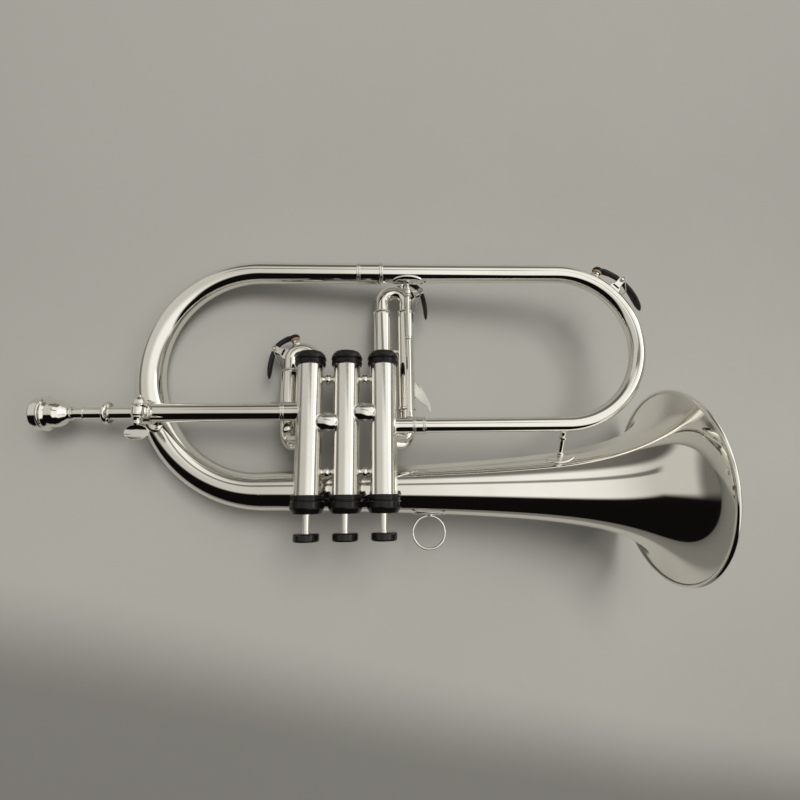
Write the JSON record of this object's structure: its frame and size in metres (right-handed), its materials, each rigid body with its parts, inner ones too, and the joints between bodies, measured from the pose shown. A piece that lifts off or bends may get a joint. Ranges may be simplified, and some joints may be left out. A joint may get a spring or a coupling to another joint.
{
  "type": "flugelhorn",
  "caption": "B flat flugelhorn in silver plate: oval main bow, flared bell, piston valves, pull-out slides, black valve caps and levers, mouthpiece fitted.",
  "frame": {"origin": "centre of the bell's mouth, in the plane of the flat front of the rim", "axes": "+X out of the bell along its axis; +Y along the valves, away from the finger buttons; +Z towards the player's left-hand side, up when the horn lies on its right-hand side"},
  "size_m": [0.4746, 0.2504, 0.152],
  "materials": {
    "silver_plate": "polished silver plate on brass",
    "piston_metal": "lapped nickel alloy",
    "button_black": "gloss black",
    "cap_black": "satin black",
    "lever_black": "semi-gloss black",
    "cork": "cut cork",
    "felt": "pressed felt",
    "spring_steel": "bright wire"
  },
  "bodies": {
    "horn": {"bell": "silver_plate", "bell_rim_bead": "silver_plate", "rear_bow": "silver_plate", "bow_ferrule": "silver_plate", "front_branch": "silver_plate", "exit_ferrule": "silver_plate", "leadpipe_sleeve": "silver_plate", "leadpipe_ferrule": "silver_plate", "clamp_collar": "silver_plate", "casing_1": "silver_plate", "casing_2": "silver_plate", "casing_3": "silver_plate", "spring_1": "spring_steel", "spring_2": "spring_steel", "spring_3": "spring_steel", "bottom_caps": "cap_black", "top_caps": "cap_black", "cap_felts": "felt", "valve_knuckles": "silver_plate", "casing_braces": "silver_plate", "slide_1_sleeves": "silver_plate", "slide_2_sleeves": "silver_plate", "slide_3_sleeves": "silver_plate", "slide_3_brace": "silver_plate", "return_stay": "silver_plate", "bell_stay": "silver_plate", "leadpipe_stay": "silver_plate", "valve_bell_stays": "silver_plate", "finger_ring": "silver_plate", "finger_hook": "silver_plate", "front_key_saddle": "silver_plate", "front_key_spring": "spring_steel"},
    "valve_1": {"piston_1": "piston_metal", "stem_1": "silver_plate", "button_1": "button_black"},
    "valve_2": {"piston_2": "piston_metal", "stem_2": "silver_plate", "button_2": "button_black"},
    "valve_3": {"piston_3": "piston_metal", "stem_3": "silver_plate", "button_3": "button_black"},
    "slide_1": {"slide_1_crook": "silver_plate", "water_key_1_saddle": "silver_plate", "water_key_1_spring": "spring_steel"},
    "slide_2": {"slide_2_crook": "silver_plate"},
    "slide_3": {"slide_3_crook": "silver_plate", "water_key_3_saddle": "silver_plate", "water_key_3_spring": "spring_steel"},
    "water_key_1": {"water_key_1_lever": "lever_black", "water_key_1_cork": "cork"},
    "water_key_3": {"water_key_3_lever": "lever_black", "water_key_3_cork": "cork"},
    "front_water_key": {"front_key_lever": "lever_black", "front_key_cork": "cork"},
    "tuning_mouthpipe": {"mouthpipe": "silver_plate", "receiver_ring": "silver_plate"},
    "mouthpiece": {"mouthpiece": "silver_plate"},
    "thumbscrew": {"clamp_thumbscrew": "silver_plate"}
  },
  "joints": [
    {"name": "press_valve_1", "type": "slide", "parent": "horn", "child": "valve_1", "axis": [0, 1, 0], "range_m": [0, 0.0128], "stiffness_N_per_m": 180, "springref_m": -0.012, "deforming": ["spring_1"]},
    {"name": "press_valve_2", "type": "slide", "parent": "horn", "child": "valve_2", "axis": [0, 1, 0], "range_m": [0, 0.0128], "stiffness_N_per_m": 180, "springref_m": -0.012, "deforming": ["spring_2"]},
    {"name": "press_valve_3", "type": "slide", "parent": "horn", "child": "valve_3", "axis": [0, 1, 0], "range_m": [0, 0.0128], "stiffness_N_per_m": 180, "springref_m": -0.012, "deforming": ["spring_3"]},
    {"name": "pull_slide_1", "type": "slide", "parent": "horn", "child": "slide_1", "axis": [0, 1, 0], "range_m": [0, 0.022]},
    {"name": "pull_slide_2", "type": "slide", "parent": "horn", "child": "slide_2", "axis": [0, 0, -1], "range_m": [0, 0.01]},
    {"name": "pull_slide_3", "type": "slide", "parent": "horn", "child": "slide_3", "axis": [0, 1, 0], "range_m": [0, 0.028]},
    {"name": "pull_mouthpipe", "type": "slide", "parent": "horn", "child": "tuning_mouthpipe", "axis": [-1, 0, 0], "range_m": [-0.018, 0.02]},
    {"name": "take_out_mouthpiece", "type": "slide", "parent": "tuning_mouthpipe", "child": "mouthpiece", "axis": [-1, 0, 0], "range_m": [0, 0.03]},
    {"name": "turn_thumbscrew", "type": "hinge", "parent": "horn", "child": "thumbscrew", "pos_m": [-0.3975, 0.0556, 0.0425], "axis": [0, 1, 0], "range_deg": [0, 360]},
    {"name": "open_water_key_1", "type": "hinge", "parent": "slide_1", "child": "water_key_1", "pos_m": [-0.31167, 0.10938, 0.0125], "axis": [0, 0, 1], "range_deg": [0, 9], "stiffness_Nm_per_rad": 0.08, "springref_deg": -10},
    {"name": "open_water_key_3", "type": "hinge", "parent": "slide_3", "child": "water_key_3", "pos_m": [-0.19533, 0.15838, 0.0125], "axis": [0, 0, -1], "range_deg": [0, 9], "stiffness_Nm_per_rad": 0.08, "springref_deg": -10},
    {"name": "open_front_water_key", "type": "hinge", "parent": "horn", "child": "front_water_key", "pos_m": [-0.03701, 0.15929, 0.0315], "axis": [0, 0, -1], "range_deg": [0, 9], "stiffness_Nm_per_rad": 0.08, "springref_deg": -10}
  ]
}
